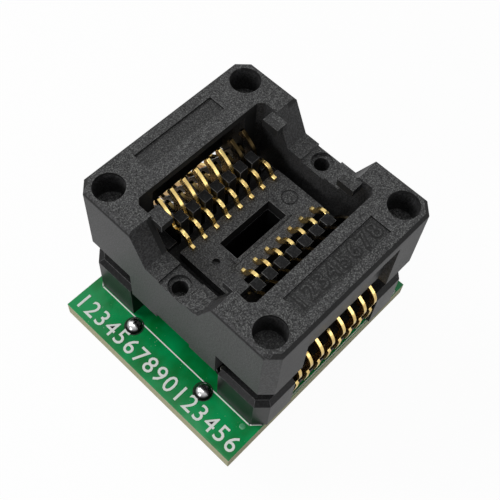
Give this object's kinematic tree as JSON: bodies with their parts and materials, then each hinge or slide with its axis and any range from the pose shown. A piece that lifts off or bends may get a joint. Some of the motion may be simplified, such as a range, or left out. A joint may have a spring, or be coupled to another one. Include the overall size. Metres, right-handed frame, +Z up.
{
  "type": "zif_socket",
  "caption": "Open-top zero-insertion-force socket for a small-outline chip, soldered to a green dual-in-line adapter board; the black cover presses down to open the gold contacts.",
  "frame": {"origin": "centre of the adapter's two pin rows, on the plane of the pin strips' undersides", "axes": "+X along the rows toward the end without the label strip, +Y across the rows, +Z up out of the chip opening"},
  "size_m": [0.0217, 0.0194, 0.022],
  "materials": {
    "cover_black": "fine textured",
    "base_black": "smooth moulded",
    "strip_black": "moulded",
    "board_green": "solder mask over glass laminate",
    "gold": "gold plated",
    "pin_tin": "tin plated",
    "solder": "bright solder",
    "spring_steel": "drawn wire"
  },
  "bodies": {
    "adapter": {"board": "board_green", "locator_plate": "base_black", "base": "base_black", "nest_plate": "base_black", "return_spring_1": "spring_steel", "return_spring_2": "spring_steel", "return_spring_3": "spring_steel", "return_spring_4": "spring_steel", "pin_strip_left": "strip_black", "pin_strip_right": "strip_black", "pins_left": "pin_tin", "pins_right": "pin_tin", "pin_solder": "solder", "tail_solder": "solder", "contact_left_1": "gold", "contact_left_2": "gold", "contact_left_3": "gold", "contact_left_4": "gold", "contact_left_5": "gold", "contact_left_6": "gold", "contact_left_7": "gold", "contact_left_8": "gold", "contact_right_1": "gold", "contact_right_2": "gold", "contact_right_3": "gold", "contact_right_4": "gold", "contact_right_5": "gold", "contact_right_6": "gold", "contact_right_7": "gold", "contact_right_8": "gold", "contact_springs_left": "gold", "contact_springs_right": "gold"},
    "cover": {"cover": "cover_black"},
    "heads_left": {"head_left_1": "gold", "head_left_2": "gold", "head_left_3": "gold", "head_left_4": "gold", "head_left_5": "gold", "head_left_6": "gold", "head_left_7": "gold", "head_left_8": "gold"},
    "heads_right": {"head_right_1": "gold", "head_right_2": "gold", "head_right_3": "gold", "head_right_4": "gold", "head_right_5": "gold", "head_right_6": "gold", "head_right_7": "gold", "head_right_8": "gold"}
  },
  "joints": [
    {"name": "cover_slide", "type": "slide", "parent": "adapter", "child": "cover", "axis": [0, 0, -1], "range_m": [0, 0.0022], "stiffness_N_per_m": 500, "springref_m": -0.001, "deforming": ["return_spring_1", "return_spring_2", "return_spring_3", "return_spring_4", "contact_springs_left", "contact_springs_right"]},
    {"name": "heads_left_rock", "type": "hinge", "parent": "adapter", "child": "heads_left", "pos_m": [0.00046, 0.0042, 0.0123], "axis": [-1, 0, 0], "range_deg": [0, 28.66]},
    {"name": "heads_right_rock", "type": "hinge", "parent": "adapter", "child": "heads_right", "pos_m": [0.00046, -0.0042, 0.0123], "axis": [1, 0, 0], "range_deg": [0, 28.66]}
  ],
  "couplings": [
    {"joint": "heads_left_rock", "follows": "cover_slide", "rad_per_m": 227.2},
    {"joint": "heads_right_rock", "follows": "cover_slide", "rad_per_m": 227.2}
  ]
}
